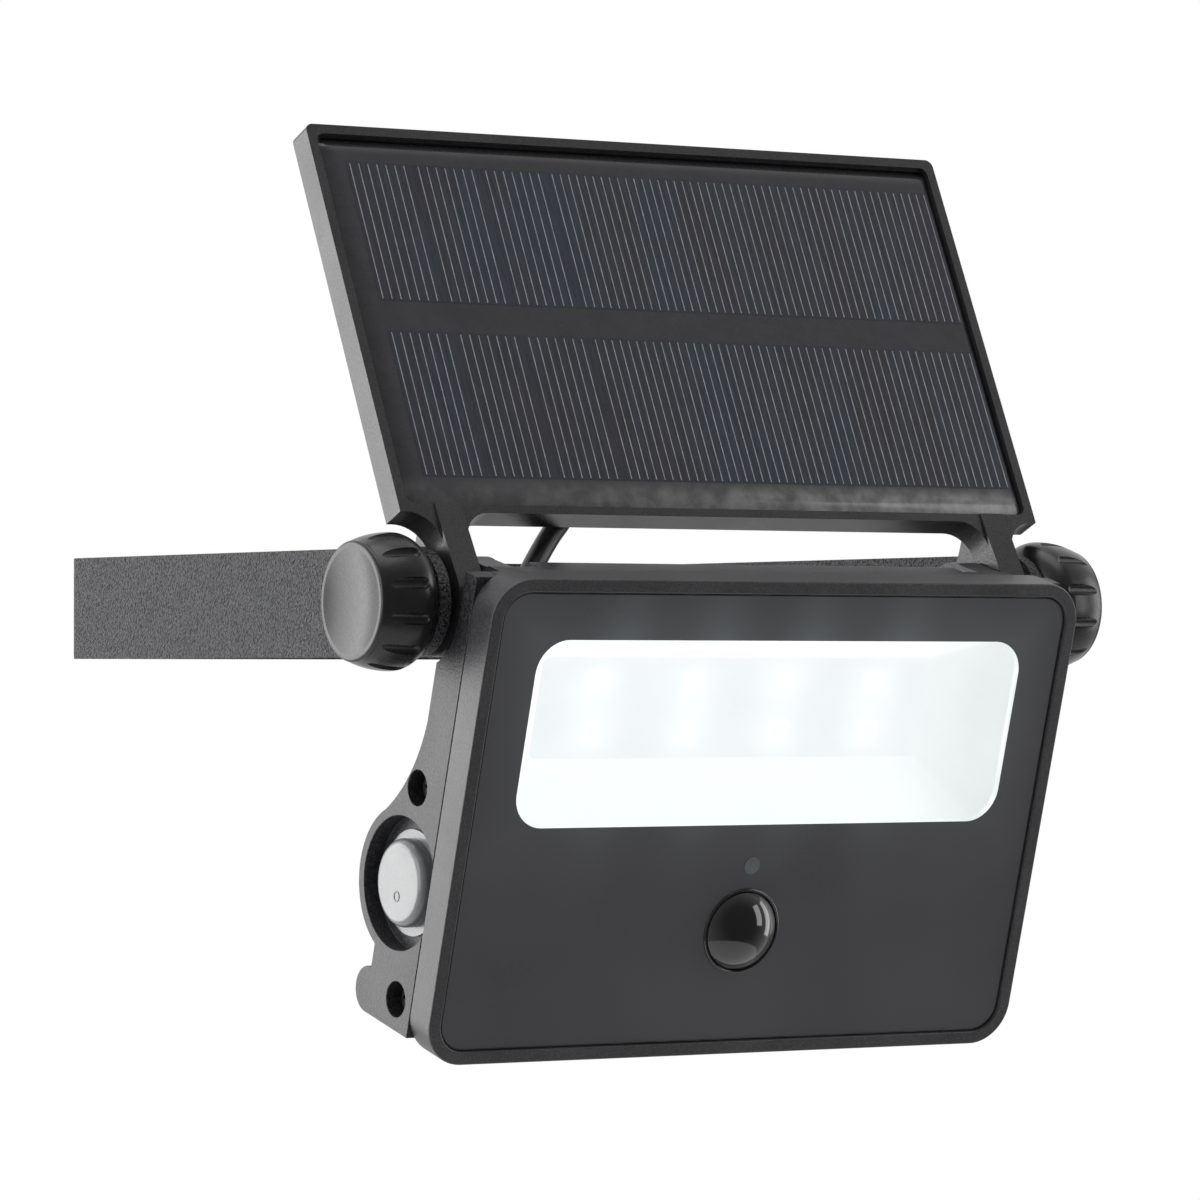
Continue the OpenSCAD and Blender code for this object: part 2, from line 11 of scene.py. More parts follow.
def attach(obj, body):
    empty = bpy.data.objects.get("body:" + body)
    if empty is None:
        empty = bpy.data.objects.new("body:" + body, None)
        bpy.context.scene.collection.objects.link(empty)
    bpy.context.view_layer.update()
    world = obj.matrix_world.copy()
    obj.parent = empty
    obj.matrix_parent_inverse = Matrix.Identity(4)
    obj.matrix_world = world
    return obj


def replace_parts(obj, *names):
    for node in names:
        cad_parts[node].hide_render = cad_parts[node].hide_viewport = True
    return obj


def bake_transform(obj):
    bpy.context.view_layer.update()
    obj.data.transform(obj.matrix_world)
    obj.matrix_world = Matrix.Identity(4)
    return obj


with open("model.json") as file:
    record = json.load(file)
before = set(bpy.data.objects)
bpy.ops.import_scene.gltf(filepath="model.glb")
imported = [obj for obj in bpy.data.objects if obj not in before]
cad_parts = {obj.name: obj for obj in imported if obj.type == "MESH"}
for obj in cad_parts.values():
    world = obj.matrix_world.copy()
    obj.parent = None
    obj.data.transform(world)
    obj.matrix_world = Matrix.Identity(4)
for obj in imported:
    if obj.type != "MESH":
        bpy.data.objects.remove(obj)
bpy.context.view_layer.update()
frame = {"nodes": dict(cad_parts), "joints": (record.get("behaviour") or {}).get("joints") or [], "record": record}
nodes = frame["nodes"]
joints = {j["name"]: j for j in frame["joints"]}

MM = 0.001
PIVOT = Vector(joints["lamp_tilt"]["pos_m"])
LAMP_TILT = math.radians(16)
PANEL_LEAN = math.radians(25)
LAMP_SET = 28.3 * MM      # front plane of the lamp in front of the pivot axis
PANEL_SET = 10.6 * MM     # front plane of the panel in front of the pivot axis
lamp_space = Matrix.Translation(PIVOT) @ Matrix.Rotation(LAMP_TILT, 4, "X")
panel_space = Matrix.Translation(PIVOT) @ Matrix.Rotation(-PANEL_LEAN, 4, "X")
lamp_face = lamp_space @ Matrix.Translation((0, -LAMP_SET, 0))
panel_face = panel_space @ Matrix.Translation((0, -PANEL_SET, 0))

# Lamp face, in millimetres: x, height above the pivot axis
COVER_BOX = (-79.0, -98.1, 79.0, 10.0)
WINDOW_BOX = (-68.0, -45.4, 68.0, -1.1)
COVER_INSET = 0.25        # middle of the sealant gap inside the cover's edge
LED_DEPTH = 18.4
LED_COLUMNS = (-39.0, -13.0, 13.0, 39.0)
LED_ROWS = (-28.0, -16.0)
PIR_AT = (0.0, -71.2)
BOOT_FACE = -82.5         # outer face of the switch boot, across the lamp
BOOT_MARK = (21.2, -67.6)  # moulded ring mark on the boot: depth, height above the pivot axis

# Panel face, in millimetres
LAMINATE_BOX = (-87.25, 20.1, 87.3, 114.8)
RESIN_DEPTH = 0.9
RESIN_ROLL = {"left": (4.5, 1.0), "right": (1.6, 0.5), "top": (4.0, 1.3), "bottom": (5.0, 0.7)}
CELL_SPAN = (-81.0, 86.8)
CELL_ROWS = ((27.0, 64.3), (72.2, 108.6))
CELL_COLUMNS = 9
CELL_GAP = 0.25
CELL_LIFT = 0.04          # cells and fingers stand this far in front of the resin's face
FINGER_LIFT = 0.07
FINGER_W = 0.22
FINGERS = 8               # on each cell but the first few, which have one fewer
SPARSE_CELLS = 3

# Lead, in millimetres from the pivot axis, in the panel's and then the lamp's own tilt
CABLE_R = 2.6
CABLE_ON_PANEL = [(-36, 0, 34), (-36, 0, 30), (-36.8, 0, 25.5), (-39.5, 0, 21.5), (-43.5, 0, 17.5),
                  (-48, 0, 12.5), (-52, 0.3, 7.5), (-55.2, 0.5, 3)]
CABLE_ON_LAMP = [(-57.6, 0.2, -2), (-59.6, 0.6, -7.5), (-61, 2.2, -13), (-61.5, 5.5, -18),
                 (-61.5, 9.8, -22), (-61.4, 13.8, -26), (-61.2, 15.6, -31), (-61, 14.2, -35.1),
                 (-61, 11.3, -37.4), (-61, 6.5, -41.2), (-61, 0.7, -45.8)]

LENS_MM = 178.28
SENSOR_MM = 36
CAMERA_AT = (-0.7903, -1.3062, -0.0169)
CAMERA_TOWARDS = (0.5513, 0.8342, 0.0129)

FLOOR_RADIUS = 1.0
FLOOR_AT = (0, -0.1, -0.9)

DECAY_BASE = 2.718        # base of every glow's fall-off
GLOW_REACH_MM = 9.0       # distance over which the glow on the cover falls to about a third
RAY_WIDTH_MM = 7.0
RAY_SHIFT_MM = -6.0


# ---- camera ----

def make_camera():
    data = bpy.data.cameras.new("camera")
    data.lens = LENS_MM
    data.sensor_width = SENSOR_MM
    data.clip_start = 0.05
    camera = bpy.data.objects.new("camera", data)
    bpy.context.scene.collection.objects.link(camera)
    camera.location = CAMERA_AT
    camera.rotation_euler = Vector(CAMERA_TOWARDS).to_track_quat("-Z", "Y").to_euler()
    bpy.context.scene.camera = camera


make_camera()


# ---- material building blocks ----

def add_node(tree, kind, inputs=None, **settings):
    """Adds a node, sets it up, and links or sets each of its inputs."""
    node = tree.nodes.new(kind)
    for key, value in settings.items():
        setattr(node, key, value)
    for key, value in (inputs or {}).items():
        if isinstance(value, bpy.types.NodeSocket):
            tree.links.new(value, node.inputs[key])
        else:
            node.inputs[key].default_value = value
    return node


class Shader:
    """A Principled material with short ways to add and link nodes."""

    def __init__(self, name, **sockets):
        self.material = bpy.data.materials.new(name)
        self.material.use_nodes = True
        self.tree = self.material.node_tree
        self.bsdf = self.tree.nodes["Principled BSDF"]
        for socket, value in sockets.items():
            self.set(socket.replace("_", " "), value)
        self.place = self.add("ShaderNodeTexCoord").outputs["Object"]

    def set(self, socket, value):
        slot = self.bsdf.inputs[socket]
        if isinstance(value, tuple) and len(value) == 3 and slot.type == "RGBA":
            value = (*value, 1.0)
        slot.default_value = value

    def add(self, kind, inputs=None, **settings):
        return add_node(self.tree, kind, inputs, **settings)

    def wire(self, source, socket):
        self.tree.links.new(source, self.bsdf.inputs[socket])

    def noise(self, size_mm, detail=2.0, place=None, stretch=None):
        """Noise whose grains are about size_mm across, as a 0..1 value."""
        place = place or self.place
        if stretch:
            place = self.add("ShaderNodeMapping", {"Vector": place, "Scale": stretch}).outputs[0]
        texture = self.add("ShaderNodeTexNoise",
                           {"Vector": place, "Scale": 1 / (size_mm * MM), "Detail": detail})
        return texture.outputs["Fac"]

    def spread(self, value, low, high, from_low=0.3, from_high=0.7):
        """The value carried from one range to another and held at its ends."""
        node = self.add("ShaderNodeMapRange", {"Value": value, "From Min": from_low, "From Max": from_high,
                                               "To Min": low, "To Max": high})
        return node.outputs["Result"]

    def math(self, operation, a, b=0.0, clamp=False):
        return self.add("ShaderNodeMath", {0: a, 1: b}, operation=operation, use_clamp=clamp).outputs[0]

    def total(self, values):
        whole = values[0]
        for value in values[1:]:
            whole = self.math("ADD", whole, value)
        return whole

    def decay(self, value, rate=1.0):
        """1 where the value is 0, falling towards 0 as it grows."""
        return self.math("POWER", DECAY_BASE, self.math("MULTIPLY", value, -rate))

    def bell(self, value):
        return self.decay(self.math("MULTIPLY", value, value))

    def untilted(self, angle):
        """The place turned back about the pivot axis, as its X, Y and Z."""
        turned = self.add("ShaderNodeVectorRotate",
                          {"Vector": self.place, "Center": tuple(PIVOT), "Angle": angle},
                          rotation_type="X_AXIS", invert=True)
        return self.add("ShaderNodeSeparateXYZ", {0: turned.outputs[0]}).outputs

    def mix(self, factor, dark, light):
        node = self.add("ShaderNodeMix", data_type="RGBA")
        for key, value in ((0, factor), (6, dark), (7, light)):
            if isinstance(value, bpy.types.NodeSocket):
                self.tree.links.new(value, node.inputs[key])
            else:
                node.inputs[key].default_value = (*value, 1.0) if isinstance(value, tuple) else value
        return node.outputs[2]

    def bump(self, height, depth_mm, strength=1.0):
        node = self.add("ShaderNodeBump", {"Height": height, "Distance": depth_mm * MM, "Strength": strength})
        self.wire(node.outputs["Normal"], "Normal")


def tint(colour, factor):
    return tuple(min(1.0, c * factor) for c in colour)


def moulded(name, colour, rough, grain_mm=0.35, depth_mm=0.02, speckle=1.25, **sockets):
    """Moulded plastic: spark-eroded grain, faint flow mottling and uneven gloss."""
    s = Shader(name, **sockets)
    grain = s.noise(grain_mm, 3)
    cloud = s.noise(22, 3)
    flat = s.mix(s.spread(cloud, 0, 1), tint(colour, 0.86), tint(colour, 1.16))
    light = s.mix(s.spread(cloud, 0, 1), tint(colour, 0.86 * speckle), tint(colour, 1.16 * speckle))
    s.wire(s.mix(s.spread(grain, 0, 1, 0.44, 0.64), flat, light), "Base Color")
    gloss = s.math("ADD", s.spread(cloud, rough - 0.04, rough + 0.04), s.spread(grain, -0.05, 0.05))
    s.wire(gloss, "Roughness")
    s.bump(grain, depth_mm)
    return s.material


def powder_coat(name, colour):
    """Black textured powder coat: orange-peel beads with bright speckle on their tops."""
    s = Shader(name, Specular_IOR_Level=0.24)
    beads = s.add("ShaderNodeTexVoronoi", {"Vector": s.place, "Scale": 1 / (0.5 * MM), "Randomness": 1.0},
                  feature="SMOOTH_F1").outputs["Distance"]
    fine = s.noise(0.35, 2)
    height = s.math("ADD", s.math("MULTIPLY", beads, -1.0), s.math("MULTIPLY", fine, 0.7))
    s.wire(s.mix(s.spread(height, 0, 1, -0.35, 0.25), tint(colour, 0.2), tint(colour, 9.5)), "Base Color")
    s.wire(s.spread(s.noise(8, 2), 0.36, 0.46), "Roughness")
    s.bump(height, 0.55)
    return s.material


def satin_cover(name, colour):
    """Front cover: fine satin sheet with a painted glow round the window, emission standing for the lamp's own
    light caught on it.
    """
    s = Shader(name, Roughness=0.3, Emission_Strength=1.0)
    fine = s.noise(0.12, 2)
    cloud = s.noise(45, 2)
    s.wire(s.mix(s.spread(cloud, 0, 1), tint(colour, 0.93), tint(colour, 1.08)), "Base Color")
    s.wire(s.math("ADD", s.spread(cloud, 0.27, 0.33), s.spread(fine, -0.02, 0.02)), "Roughness")
    s.bump(fine, 0.002)
    # painted glow: emission in streaks above each LED column, fading away from the window and weaker lower down
    local = s.untilted(LAMP_TILT)
    height = s.math("DIVIDE", s.math("SUBTRACT", local["Z"], PIVOT.z), MM)
    across = s.math("DIVIDE", local["X"], MM)
    left, low, right, high = WINDOW_BOX
    above = s.math("MAXIMUM", s.math("SUBTRACT", height, high), s.math("SUBTRACT", low, height))
    beside = s.math("MAXIMUM", s.math("SUBTRACT", across, right), s.math("SUBTRACT", left, across))
    away = s.math("MAXIMUM", s.math("MAXIMUM", above, beside), 0.0)
    fade = s.decay(away, 1 / GLOW_REACH_MM)
    skyward = s.spread(height, 0.4, 1.0, -40.0, 0.0)
    rays = []
    for column in LED_COLUMNS:
        offset = s.math("SUBTRACT", across, column + RAY_SHIFT_MM)
        rays.append(s.bell(s.math("DIVIDE", offset, RAY_WIDTH_MM)))
    streaks = s.math("ADD", 0.5, s.math("MULTIPLY", s.total(rays), 0.6))
    wanted = s.math("MULTIPLY", s.math("MULTIPLY", fade, skyward), streaks)
    glow = s.mix(s.math("MULTIPLY", wanted, 0.8, True), (0.0, 0.0, 0.0), (0.05, 0.062, 0.062))
    s.wire(glow, "Emission Color")
    return s.material


def lit_white(name, centre, low, high, tone=(0.955, 1.0, 0.992), right_end_painted_shade=0.0):
    """White pieces inside the lit tray, given painted light as emission: a painted pool of light round each light
    source, and painted shade towards the right end by the given amount. centre is the reach of one source's
    painted pool of light in millimetres."""
    s = Shader(name, Base_Color=(0.08, 0.083, 0.083), Roughness=0.5)
    across = s.add("ShaderNodeSeparateXYZ", {0: s.place}).outputs["X"]
    # painted shade: darker towards the right end of the tray
    right = s.spread(across, 0.0, right_end_painted_shade, 45 * MM, 64 * MM)
    cloud = s.noise(9, 2)
    # painted pools of light round each LED
    painted_light_pools = []
    for column in LED_COLUMNS:
        for row in LED_ROWS:
            spot = lamp_face @ Vector((column * MM, LED_DEPTH * MM, row * MM))
            gap = s.add("ShaderNodeVectorMath", {0: s.place, 1: tuple(spot)}, operation="DISTANCE")
            painted_light_pools.append(s.bell(s.math("DIVIDE", gap.outputs["Value"], centre * MM)))
    level = s.math("ADD", s.spread(s.total(painted_light_pools), low, high, 0.0, 1.0), s.spread(cloud, -0.015, 0.015))
    level = s.math("SUBTRACT", level, right)
    s.wire(s.mix(s.math("MULTIPLY", level, 1.0, True), (0.0, 0.0, 0.0), tone), "Emission Color")
    s.set("Emission Strength", 1.0)
    return s.material


def solar_silicon(name):
    """Silicon cells: dark blue-grey, each with its own tone, with fine upright grain."""
    s = Shader(name, Coat_Weight=0.7, Coat_Roughness=0.12, Coat_IOR=1.45, Specular_IOR_Level=0.3)
    tone = s.noise(16, 1, stretch=(1.0, 0.25, 0.25))
    grain = s.noise(0.7, 3, stretch=(1.0, 0.08, 0.08))
    warm = s.mix(s.spread(grain, 0, 1), (0.022, 0.021, 0.031), (0.033, 0.031, 0.044))
    cold = s.mix(s.spread(grain, 0, 1), (0.017, 0.026, 0.041), (0.028, 0.040, 0.059))
    s.wire(s.mix(s.spread(tone, 0, 1, 0.38, 0.62), warm, cold), "Base Color")
    s.wire(s.spread(grain, 0.24, 0.34), "Roughness")
    s.bump(grain, 0.004)
    return s.material


def laminate(name):
    """Black backing under clear poured resin with a slightly wavy glossy top, and a painted reflection along its
    foot, mottled and lighter towards the right.
    """
    s = Shader(name, Coat_Weight=0.7, Coat_Roughness=0.08, Coat_IOR=1.45, Specular_IOR_Level=0.3)
    cloud = s.noise(14, 3)
    black = s.mix(s.spread(cloud, 0, 1), (0.034, 0.033, 0.037), (0.043, 0.041, 0.047))
    local = s.untilted(-PANEL_LEAN)
    # painted reflection: mottled lighter grey along the resin's foot, stronger towards the right
    foot = s.spread(local["Z"], 1.0, 0.0, PIVOT.z + 24 * MM, PIVOT.z + 27.5 * MM)
    sideways = s.spread(local["X"], 0.25, 1.0, -70 * MM, 30 * MM)
    haze_and_sheen = s.math("MULTIPLY", s.math("MULTIPLY", foot, sideways), s.spread(s.noise(4, 4), 0.3, 1.1))
    s.wire(s.mix(haze_and_sheen, black, (0.27, 0.265, 0.265)), "Base Color")
    s.wire(s.spread(s.noise(3, 3), 0.2, 0.36), "Roughness")
    s.bump(s.noise(5, 3), 0.02, 0.5)
    return s.material


def silver(name):
    """Printed silver fingers, a little uneven along their length."""
    s = Shader(name, Metallic=0.6, Roughness=0.45)
    patchy = s.noise(2.5, 3)
    s.wire(s.mix(s.spread(patchy, 0, 1), (0.34, 0.35, 0.38), (0.52, 0.53, 0.57)), "Base Color")
    s.wire(s.spread(patchy, 0.35, 0.55), "Roughness")
    return s.material


def brushed(name, colour, rough=0.32, metallic=1.0):
    """Plated or turned metal with fine tool marks."""
    s = Shader(name, Metallic=metallic)
    marks = s.noise(0.25, 4, stretch=(0.15, 1.0, 1.0))
    s.wire(s.mix(s.spread(marks, 0, 1), tint(colour, 0.8), tint(colour, 1.1)), "Base Color")
    s.wire(s.spread(marks, rough - 0.08, rough + 0.08), "Roughness")
    s.bump(marks, 0.006)
    return s.material


def glossy(name, colour, rough=0.08, **sockets):
    """Polished moulding with a hint of waviness."""
    s = Shader(name, **sockets)
    cloud = s.noise(5, 2)
    s.wire(s.mix(s.spread(cloud, 0, 1), tint(colour, 0.85), tint(colour, 1.15)), "Base Color")
    s.wire(s.spread(s.noise(1.2, 3), rough * 0.9, rough * 1.1), "Roughness")
    s.bump(cloud, 0.004, 0.4)
    return s.material


def clear(name):
    """Clear window with very slight haze."""
    s = Shader(name, Base_Color=(0.97, 1.0, 1.0), Transmission_Weight=1.0, IOR=1.25)
    haze_and_sheen = s.noise(6, 3)
    s.wire(s.spread(haze_and_sheen, 0.01, 0.05), "Roughness")
    s.bump(haze_and_sheen, 0.004, 0.2)
    return s.material


def silicone(name):
    """Milky soft boot: softly mottled, with a satin skin."""
    s = Shader(name, IOR=1.4, Coat_Weight=0.5, Coat_Roughness=0.1)
    cloud = s.noise(5, 2)
    s.wire(s.mix(s.spread(cloud, 0, 1), (0.18, 0.187, 0.191), (0.215, 0.223, 0.227)), "Base Color")
    s.wire(s.spread(s.noise(2.5, 2), 0.24, 0.32), "Roughness")
    s.bump(cloud, 0.02, 0.5)
    return s.material


def circuit_board(name, colour):
    """Solder mask with tracks faintly showing."""
    s = Shader(name, Roughness=0.35, Coat_Weight=0.3, Coat_Roughness=0.2)
    tracks = s.add("ShaderNodeTexBrick",
                   {"Vector": s.place, "Scale": 120.0, "Mortar Size": 0.02}).outputs["Fac"]
    s.wire(s.mix(tracks, colour, tint(colour, 1.8)), "Base Color")
    s.wire(s.spread(s.noise(4, 2), 0.3, 0.42), "Roughness")
    s.bump(tracks, 0.03)
    return s.material


FINISHES = {
    "bracket_coat": powder_coat("bracket_coat", (0.012, 0.012, 0.013)),
    "black_washer": moulded("black_washer", (0.012, 0.012, 0.012), 0.6),
    "housing_plastic": moulded("housing_plastic", (0.018, 0.018, 0.020), 0.40, grain_mm=0.5,
                               depth_mm=0.10, speckle=3.2, Specular_IOR_Level=0.42),
    "frame_plastic": moulded("frame_plastic", (0.040, 0.040, 0.043), 0.40, grain_mm=0.45,
                             depth_mm=0.06, speckle=1.6),
    "cover_plastic": satin_cover("cover_plastic", (0.082, 0.080, 0.088)),
    "clear_plastic": clear("clear_plastic"),
    "seal_rubber": moulded("seal_rubber", (0.006, 0.006, 0.006), 0.35, grain_mm=0.8, depth_mm=0.03),
    # the reflector and the board glow by painted light; the LED phosphor is the lamp itself
    "reflector_white": lit_white("reflector_white", 32.0, 0.93, 0.97, (0.98, 1.0, 0.995), right_end_painted_shade=0.12),
    "board_white": lit_white("board_white", 6.8, 0.915, 1.0, (0.975, 0.985, 1.0)),
    "led_phosphor": lit_white("led_phosphor", 20.0, 1.0, 1.0, (1.0, 1.0, 1.0)),
    "spreader": brushed("spreader", (0.6, 0.61, 0.63)),
    "pir_black": glossy("pir_black", (0.006, 0.006, 0.007), 0.09, Coat_Weight=0.6, Coat_Roughness=0.03),
    "sensor_can": brushed("sensor_can", (0.6, 0.6, 0.62)),
    "grey_light_pipe": glossy("grey_light_pipe", (0.16, 0.17, 0.18), 0.2, Subsurface_Weight=0.3,
                              Subsurface_Scale=0.002),
    "blue_element": glossy("blue_element", (0.02, 0.04, 0.12), 0.2),
    "green_board": circuit_board("green_board", (0.01, 0.09, 0.035)),
    "component_black": moulded("component_black", (0.02, 0.02, 0.02), 0.5),
    "cell_sleeve": glossy("cell_sleeve", (0.03, 0.14, 0.35), 0.25),
    "inner_plastic": moulded("inner_plastic", (0.02, 0.02, 0.02), 0.5),
    "steel": brushed("steel", (0.10, 0.10, 0.105), 0.38),
    "switch_black": glossy("switch_black", (0.02, 0.02, 0.021), 0.3),
    "boot_silicone": silicone("boot_silicone"),
    "cable_pvc": moulded("cable_pvc", (0.014, 0.014, 0.015), 0.36, grain_mm=1.2, depth_mm=0.012),
    "panel_plastic": moulded("panel_plastic", (0.018, 0.018, 0.020), 0.34, grain_mm=0.45,
                             depth_mm=0.06, speckle=1.9, Specular_IOR_Level=0.6),
    "laminate_back": moulded("laminate_back", (0.01, 0.01, 0.01), 0.4),
    "solar_silicon": solar_silicon("solar_silicon"),
    "solar_coat": laminate("solar_coat"),
    "knob_plastic": glossy("knob_plastic", (0.016, 0.016, 0.017), 0.27, Specular_IOR_Level=0.42),
    "brass": brushed("brass", (0.55, 0.38, 0.14)),
}
SILVER = silver("silver_fingers")


# ---- piece building blocks ----

def node_slot(node):
    return next(p["material_slot"] for p in frame["record"]["subparts"] if p["node"] == node)


def node_body(node):
    return next(b for b, members in frame["record"]["behaviour"]["bodies"].items() if node in members)


def smooth(mesh, angle=32):
    mesh.polygons.foreach_set("use_smooth", [True] * len(mesh.polygons))
    mesh.set_sharp_from_angle(angle=math.radians(angle))


def piece_from(bm, name, slot, body, material=None, blend=None):
    """Turns a bmesh, in metres in the row frame, into a finished piece that rides on a body, or, given blend,
    stays where it stands on no body.
    """
    bmesh.ops.recalc_face_normals(bm, faces=bm.faces)
    mesh = bpy.data.meshes.new(name)
    bm.to_mesh(mesh)
    bm.free()
    smooth(mesh)
    obj = bpy.data.objects.new(name, mesh)
    bpy.context.scene.collection.objects.link(obj)
    mesh.materials.append(material or FINISHES[slot])
    if blend:
        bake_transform(obj)
    else:
        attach(obj, body)
    return obj


def soften(node, width_mm, segments=2, angle=38):
    """A copy of a CAD node with its sharp edges rounded off, which then stands for the node."""
    bm = bmesh.new()
    bm.from_mesh(nodes[node].data)
    bmesh.ops.remove_doubles(bm, verts=bm.verts, dist=0.002 * MM)
    bmesh.ops.dissolve_limit(bm, angle_limit=math.radians(0.6), verts=bm.verts, edges=bm.edges)
    obj = piece_from(bm, node + "_finished", node_slot(node), node_body(node))
    bevel = obj.modifiers.new("edges", "BEVEL")
    bevel.width = width_mm * MM
    bevel.segments = segments
    bevel.limit_method = "ANGLE"
    bevel.angle_limit = math.radians(angle)
    bevel.use_clamp_overlap = True
    bevel.miter_outer = "MITER_ARC"
    flat = obj.modifiers.new("normals", "WEIGHTED_NORMAL")
    flat.weight = 100
    flat.mode = "FACE_AREA_WITH_ANGLE"
    obj.data.set_sharp_from_angle(angle=math.pi)
    bpy.context.view_layer.update()
    baked = bpy.data.meshes.new_from_object(obj.evaluated_get(bpy.context.evaluated_depsgraph_get()))
    obj.modifiers.clear()
    obj.data = baked
    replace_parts(obj, node)
    return obj


def through(points, per_span):
    """A smooth curve through the points (uniform Catmull-Rom)."""
    pts = [2 * points[0] - points[1]] + list(points) + [2 * points[-1] - points[-2]]
    out = []
    for a, b, c, d in zip(pts, pts[1:], pts[2:], pts[3:]):
        for step in range(per_span):
            t = step / per_span
            out.append(0.5 * (2 * b + (c - a) * t + (2 * a - 5 * b + 4 * c - d) * t * t
                              + (3 * b - a - 3 * c + d) * t ** 3))
    return out + [points[-1]]


def tube(bm, path, radius, sides=16, closed=False):
    """Sweeps a round section along a path; radius is a number or a function of the point's index."""
    count = len(path)
    side = Vector((1, 0, 0))
    rings = []
    for i, point in enumerate(path):
        ahead = path[(i + 1) % count] if closed or i < count - 1 else point
        behind = path[i - 1] if closed or i else point
        along = (ahead - behind).normalized()
        side = (side - along * side.dot(along)).normalized()
        up = along.cross(side)
        r = radius(i) if callable(radius) else radius
        turns = [k * math.tau / sides for k in range(sides)]
        rings.append([bm.verts.new(point + r * (math.cos(a) * side + math.sin(a) * up)) for a in turns])
    pairs = list(zip(rings, rings[1:])) + ([(rings[-1], rings[0])] if closed else [])
    for one, two in pairs:
        for k in range(sides):
            bm.faces.new((one[k], one[(k + 1) % sides], two[(k + 1) % sides], two[k]))
    if not closed:
        bm.faces.new(rings[0])
        bm.faces.new(rings[-1])


def rounded_loop(box, radius, step_deg=7.5):
    """Points round a rectangle with round corners, in millimetres."""
    x0, z0, x1, z1 = box
    centres = [(x1 - radius, z1 - radius, 0), (x0 + radius, z1 - radius, 90),
               (x0 + radius, z0 + radius, 180), (x1 - radius, z0 + radius, 270)]
    loop = []
    for cx, cz, start in centres:
        for k in range(int(90 / step_deg) + 1):
            a = math.radians(start + k * step_deg)
            loop.append((cx + radius * math.cos(a), cz + radius * math.sin(a)))
    return loop


def dense(loop, step=1.5):
    """The same closed loop with points at most a step apart."""
    out = []
    for (ax, az), (bx, bz) in zip(loop, loop[1:] + loop[:1]):
        parts = max(1, math.ceil(math.hypot(bx - ax, bz - az) / step))
        out += [(ax + (bx - ax) * k / parts, az + (bz - az) * k / parts) for k in range(parts)]
    return out


# ---- finished CAD pieces ----

EDGE_MM = {
    "wall_bracket": 0.35, "front_frame": 0.9, "rear_housing": 0.5,
    "left_end_cap": 0.5, "right_end_cap": 0.5, "panel_frame": 0.45, "junction_box": 0.4,
    "junction_lid": 0.4, "lamp_cable_gland": 0.3, "panel_cable_gland": 0.25, "switch_body": 0.3,
    "switch_rocker": 0.6, "left_pivot_bolt": 0.25, "right_pivot_bolt": 0.25, "end_cap_screws": 0.2,
    "junction_screws": 0.2, "left_friction_washer": 0.2, "right_friction_washer": 0.2,
}


def finish_cad_nodes():
    for node, obj in nodes.items():
        obj.data.materials.clear()
        obj.data.materials.append(FINISHES[node_slot(node)])
        smooth(obj.data)
    for node, width in EDGE_MM.items():
        soften(node, width)


# ---- solar laminate ----

def resin_depth(x, z):
    """Depth of the poured face: flat in the middle, rolling off to each side, a little wavy."""
    x0, z0, x1, z1 = LAMINATE_BOX
    gaps = {"left": x - x0, "right": x1 - x, "bottom": z - z0, "top": z1 - z}
    falls = [drop * max(0.0, 1 - gaps[edge] / reach) ** 2.2 for edge, (reach, drop) in RESIN_ROLL.items()]
    return RESIN_DEPTH + max(falls) + 0.03 * noise.noise(Vector((x * 0.09, z * 0.09, 0.0)))


def steps(low, high, most):
    """Even steps from low to high, each at most so long."""
    count = max(1, math.ceil((high - low) / most))
    return [low + (high - low) * k / count for k in range(count + 1)]


def skin(bm, xs, zs, lift):
    """Adds a sheet that follows the resin's face, lifted in front of it by so many millimetres."""

    def vertex(x, z):
        return bm.verts.new(panel_face @ (Vector((x, resin_depth(x, z) - lift, z)) * MM))

    grid = [[vertex(x, z) for x in xs] for z in zs]
    for lower, upper in zip(grid, grid[1:]):
        for i in range(len(xs) - 1):
            bm.faces.new((lower[i], lower[i + 1], upper[i + 1], upper[i]))


def thicken(bm, depth_mm):
    """Gives the open sheets in bm a back, so that each is a thin solid."""
    walls = bmesh.ops.extrude_edge_only(bm, edges=[e for e in bm.edges if e.is_boundary])["geom"]
    back = [v for v in walls if isinstance(v, bmesh.types.BMVert)]
    bmesh.ops.translate(bm, verts=back, vec=panel_space.to_3x3() @ Vector((0, depth_mm * MM, 0)))
    bmesh.ops.holes_fill(bm, edges=[e for e in bm.edges if e.is_boundary], sides=0)


def laminate_top():
    """Poured resin face that stands for the CAD resin."""
    x0, z0, x1, z1 = LAMINATE_BOX
    bm = bmesh.new()
    skin(bm, steps(x0, x1, 0.8), steps(z0, z1, 0.8), 0.0)
    thicken(bm, 0.6)
    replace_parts(piece_from(bm, "laminate_top", "solar_coat", "panel"), "solar_resin")


def cell_strips():
    """Eighteen cells in the resin's skin, with their silver fingers."""
    cells, fingers = bmesh.new(), bmesh.new()
    pitch = (CELL_SPAN[1] - CELL_SPAN[0]) / CELL_COLUMNS
    for low, high in CELL_ROWS:
        for i in range(CELL_COLUMNS):
            left = CELL_SPAN[0] + i * pitch
            skin(cells, steps(left, left + pitch - CELL_GAP, 1.0), steps(low, high, 4.0), CELL_LIFT)
            sparse = i < SPARSE_CELLS
            count = FINGERS - 1 if sparse else FINGERS
            step = pitch / (count + (0.6 if sparse else 0.0))
            for k in range(count):
                x = left + (k + 0.4) * step
                edges = (x - FINGER_W / 2, x + FINGER_W / 2)
                skin(fingers, edges, steps(low + 0.4, high - 0.4, 4.0), FINGER_LIFT)
    thicken(cells, 0.1)
    thicken(fingers, 0.02)
    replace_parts(piece_from(cells, "cell_strips", "solar_silicon", "panel"), "solar_cells")
    piece_from(fingers, "cell_fingers", "solar_silicon", "panel", SILVER)


# ---- lead, beads and rings ----

